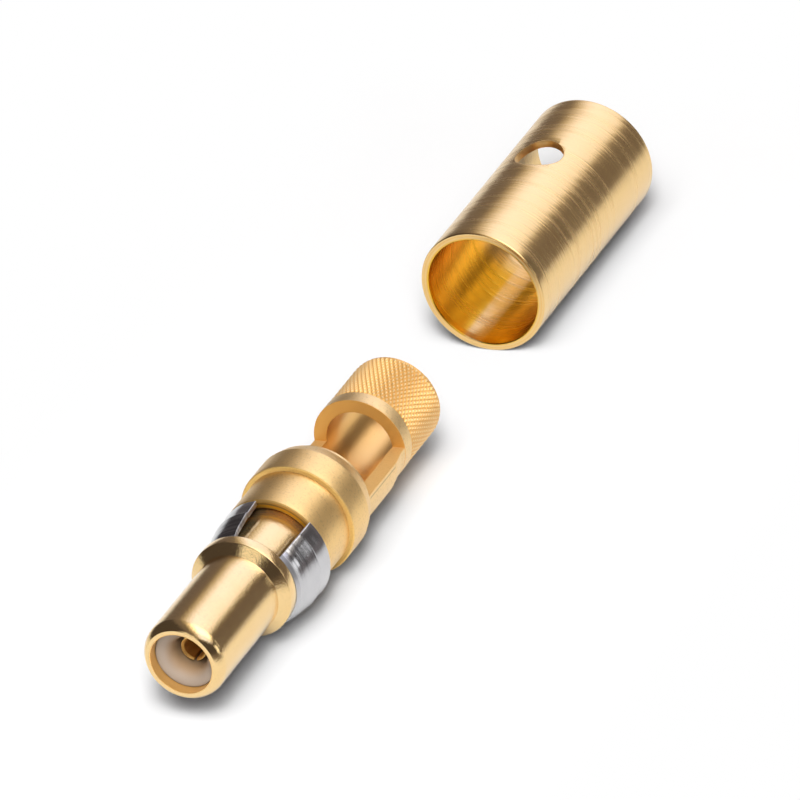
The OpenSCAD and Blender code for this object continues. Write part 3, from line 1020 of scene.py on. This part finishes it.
class CONTACT_OT_stage(bpy.types.Operator):
    """Sets up the pale floor, the soft light and the camera"""
    bl_idname = "contact.stage"
    bl_label = "Stage"

    def floor(self, p):
        """A pale floor that keeps the shadow and shows white to the camera and in the metal."""
        clear_selection()
        bpy.ops.mesh.primitive_plane_add(size=p.floor_w, location=(0.0, 0.0, 0.0))
        floor = bpy.context.object
        floor.name = "floor"
        mode("EDIT")
        bpy.ops.mesh.select_all(action="SELECT")
        bpy.ops.transform.translate(value=(0.0, 0.0, p.floor_z))
        mode("OBJECT")
        s = new_shader("pale_floor")
        path = s.add("ShaderNodeLightPath", {})
        seen = [Wire(s, path.outputs[n]) for n in ("Is Camera Ray", "Is Glossy Ray", "Is Transmission Ray")]
        _, x, y, _ = s.here()
        # Mirrored in the metal, the floor is dark to the right of the part but for a pale wedge
        far = x.step(7.0 * MM, 22.0 * MM).most(x.step(-10.0 * MM, -60.0 * MM) * 0.3)
        slant = (y + 5.0 * MM) / x
        far = far * (1.0 - slant.step(0.02, 0.08) * slant.step(0.28, 0.2))
        # Past the part and its shadow the floor is plain white
        away = x.math("ABSOLUTE").step(9.0 * MM, 20.0 * MM)
        away = away.most(y.step(37.0 * MM, 48.0 * MM))
        away = away.most(y.step(-19.0 * MM, -30.0 * MM))
        glow_share = seen[0].most(seen[1]).most(seen[2]) * (0.04 + away * 0.96)
        room_share = seen[1] * (0.08 + far * 0.92)
        paper = s.node("ShaderNodeBsdfDiffuse", {}, settings().finish.floor)
        glow = s.node("ShaderNodeEmission", {}, (1.0, 1.0, 1.0), 1.0)
        room = s.node("ShaderNodeEmission", {}, settings().finish.room, 1.0)
        both = s.node("ShaderNodeMixShader", {}, glow_share, paper, glow)
        mirrored = s.node("ShaderNodeMixShader", {}, room_share, both, room)
        s.add("ShaderNodeOutputMaterial", {}, mirrored)
        floor.data.materials.append(s.owner)

    def world(self):
        """A dark room round the soft box, darker in front."""
        world = bpy.data.worlds.new("studio")
        bpy.context.scene.world = world
        s = Shader(world)
        y = s.split(s.node("ShaderNodeTexCoord", {}))[1]
        room = settings().finish.room
        tone = s.mix(y.step(0.67, 0.755), [0.42 * c for c in room], room)
        back = s.node("ShaderNodeBackground", {}, tone, 1.0)
        s.add("ShaderNodeOutputWorld", {}, back)

    def glowing(self, name, low, high, turn, glow):
        """A card, flat from its low to its high corner, that only the metal mirrors."""
        clear_selection()
        bpy.ops.mesh.primitive_cube_add(size=1.0, location=(0.0, 0.0, 0.0))
        card = bpy.context.object
        card.name = name
        mode("EDIT")
        bpy.ops.mesh.select_all(action="SELECT")
        bpy.ops.transform.resize(value=Vector(high) - Vector(low))
        bpy.ops.transform.translate(value=(Vector(high) + Vector(low)) / 2)
        bpy.ops.transform.rotate(value=-turn, orient_axis="Z", center_override=(0.0, 0.0, 0.0))
        mode("OBJECT")
        s = new_shader(name)
        light = s.node("ShaderNodeEmission", {}, glow(s), 1.0)
        s.add("ShaderNodeOutputMaterial", {}, light)
        card.data.materials.append(s.owner)
        card.visible_camera = False
        card.visible_diffuse = False
        card.visible_shadow = False

    def soft_boxes(self, p):
        """A wide soft box over the right side, square to the camera, and cards to the right and in front."""

        def wide(s):
            """The box's light, in millimetres across and along the view: warm sides and a hot middle."""
            _, x, y, _ = s.here()
            across = (x * math.cos(p.azimuth) + y * math.sin(p.azimuth)) / MM
            along = (y * math.cos(p.azimuth) - x * math.sin(p.azimuth)) / MM
            sides = across.step(-42.0, 198.0) * across.step(870.0, 614.0) * along.step(-480.0, -420.0)
            level = sides * (1.0 - across.step(194.0, 654.0) * 0.16)
            warm = [p.box_level * c for c in (1.05, 0.86, 0.42)]
            cool = [p.box_level * c for c in (1.03, 1.08, 1.45)]
            hot = along.step(325.0, 85.0) * along.step(-206.0, -142.0)
            glare = s.mix(level, (2.4, 2.05, 1.35), (2.4, 2.4, 2.5))
            core = s.mix(hot, s.mix(level, warm, cool), glare)
            return s.mix(level, settings().finish.room, core)

        z = p.box_z
        self.glowing("soft_box", (-140 * MM, -500 * MM, z), (980 * MM, 1920 * MM, z + MM), p.azimuth, wide)
        for name, low, high, turn, level in CARDS:
            white = (level, level, level)
            self.glowing(name, Vector(low) * MM, Vector(high) * MM, math.radians(turn), lambda s: white)

    def lamp(self, at, width, height, power):
        """One broad lamp that faces the part; the metal doesn't mirror it."""
        clear_selection()
        bpy.ops.object.light_add(type="AREA", location=at)
        lamp = bpy.context.object
        lamp.data.shape = "RECTANGLE"
        lamp.data.size = width
        lamp.data.size_y = height
        lamp.data.energy = power
        lamp.visible_glossy = False
        lamp.rotation_euler = (-Vector(at)).to_track_quat("-Z", "Y").to_euler()

    def lamps(self, p):
        """The lamp to the right throws the shadow, and the broad one above the camera softens it."""
        self.lamp(*SHADOW_LAMP, p.lamp_power)
        self.lamp(*FILL_LAMP, p.fill_power)

    def camera(self, p):
        """The camera at the photograph's angle."""
        clear_selection()
        az, el = p.azimuth, p.elevation
        back = Vector((math.sin(az) * math.cos(el), -math.cos(az) * math.cos(el), math.sin(el)))
        right = Vector((math.cos(az), math.sin(az), 0.0))
        up = back.cross(right)
        cos_roll, sin_roll = math.cos(p.roll), math.sin(p.roll)
        right, up = right * cos_roll + up * sin_roll, up * cos_roll - right * sin_roll
        bpy.ops.object.camera_add()
        camera = bpy.context.object
        turn = Matrix((right, up, back)).transposed().to_4x4()
        spot = back * p.distance + right * p.across + up * p.above
        camera.matrix_world = Matrix.Translation(spot) @ turn
        camera.data.sensor_width = SENSOR_WIDTH
        camera.data.lens = p.scale / MM * p.distance * SENSOR_WIDTH / PICTURE_PIXELS
        camera.data.clip_start = 0.01
        camera.data.clip_end = 50.0
        bpy.context.scene.camera = camera

    def execute(self, context):
        p = settings().stage
        self.floor(p)
        self.world()
        self.soft_boxes(p)
        self.lamps(p)
        self.camera(p)
        bpy.context.scene.view_settings.view_transform = "Standard"
        bpy.context.scene.cycles.caustics_reflective = False
        return {"FINISHED"}


OPERATORS = (
    CONTACT_OT_stage,
    CONTACT_OT_front_shell,
    CONTACT_OT_rear_body,
    CONTACT_OT_clip,
    CONTACT_OT_insulator,
    CONTACT_OT_socket,
    CONTACT_OT_ferrule,
)


class CONTACT_PT_panel(bpy.types.Panel):
    """Lists the steps that build the contact"""
    bl_idname = "CONTACT_PT_panel"
    bl_label = "Coaxial contact"
    bl_space_type = "VIEW_3D"
    bl_region_type = "UI"
    bl_category = "Contact"

    def draw(self, context):
        for operator in OPERATORS:
            self.layout.operator(operator.bl_idname)


CLASSES = (
    ShellSizes, BodySizes, ClipSizes, InsulatorSizes, SocketSizes, FerruleSizes, StageSizes, FinishColours,
    ContactSettings,
) + OPERATORS + (CONTACT_PT_panel,)


def register():
    """Registers the classes and the scene's settings."""
    for cls in CLASSES:
        bpy.utils.register_class(cls)
    bpy.types.Scene.contact_settings = bpy.props.PointerProperty(type=ContactSettings)


def unregister():
    """Takes the settings and the classes away again."""
    del bpy.types.Scene.contact_settings
    for cls in reversed(CLASSES):
        bpy.utils.unregister_class(cls)


def main():
    """Builds everything in order."""
    register()
    bpy.ops.contact.stage()
    bpy.ops.contact.front_shell()
    bpy.ops.contact.rear_body()
    bpy.ops.contact.clip()
    bpy.ops.contact.insulator()
    bpy.ops.contact.socket()
    bpy.ops.contact.ferrule()
    clear_selection()


if __name__ == "__main__":
    main()
